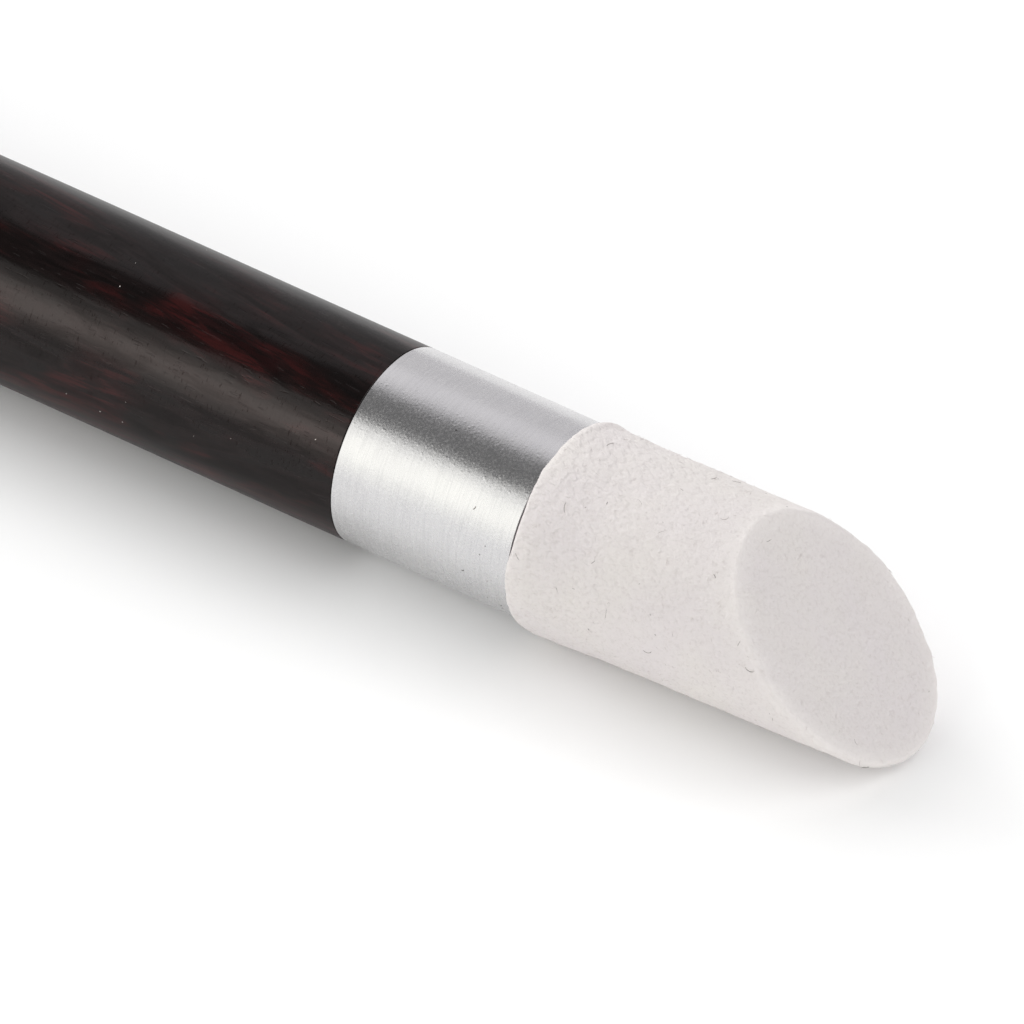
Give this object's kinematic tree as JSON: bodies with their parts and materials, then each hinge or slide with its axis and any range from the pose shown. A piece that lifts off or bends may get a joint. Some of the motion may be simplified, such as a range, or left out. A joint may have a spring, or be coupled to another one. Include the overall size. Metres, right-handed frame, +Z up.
{
  "type": "blending stump",
  "caption": "Drawing stump with a round hardwood handle, a plain metal ferrule and a soft pale nib cut at a slant, lying on its side.",
  "frame": {"origin": "on the surface the tool lies on, under the middle of its length", "axes": "+X along the tool from the butt to the nib's tip, +Z up from the surface; the nib's slanted face looks forwards and up, and its long side is underneath"},
  "size_m": [0.15, 0.0138, 0.0137],
  "materials": {
    "handle_wood": "gloss",
    "ferrule_aluminium": "satin",
    "nib_felt": "matte",
    "adhesive": "satin"
  },
  "bodies": {
    "root": {"handle": "handle_wood", "ferrule": "ferrule_aluminium", "nib": "nib_felt", "handle_glue": "adhesive", "nib_glue": "adhesive"}
  },
  "joints": []
}
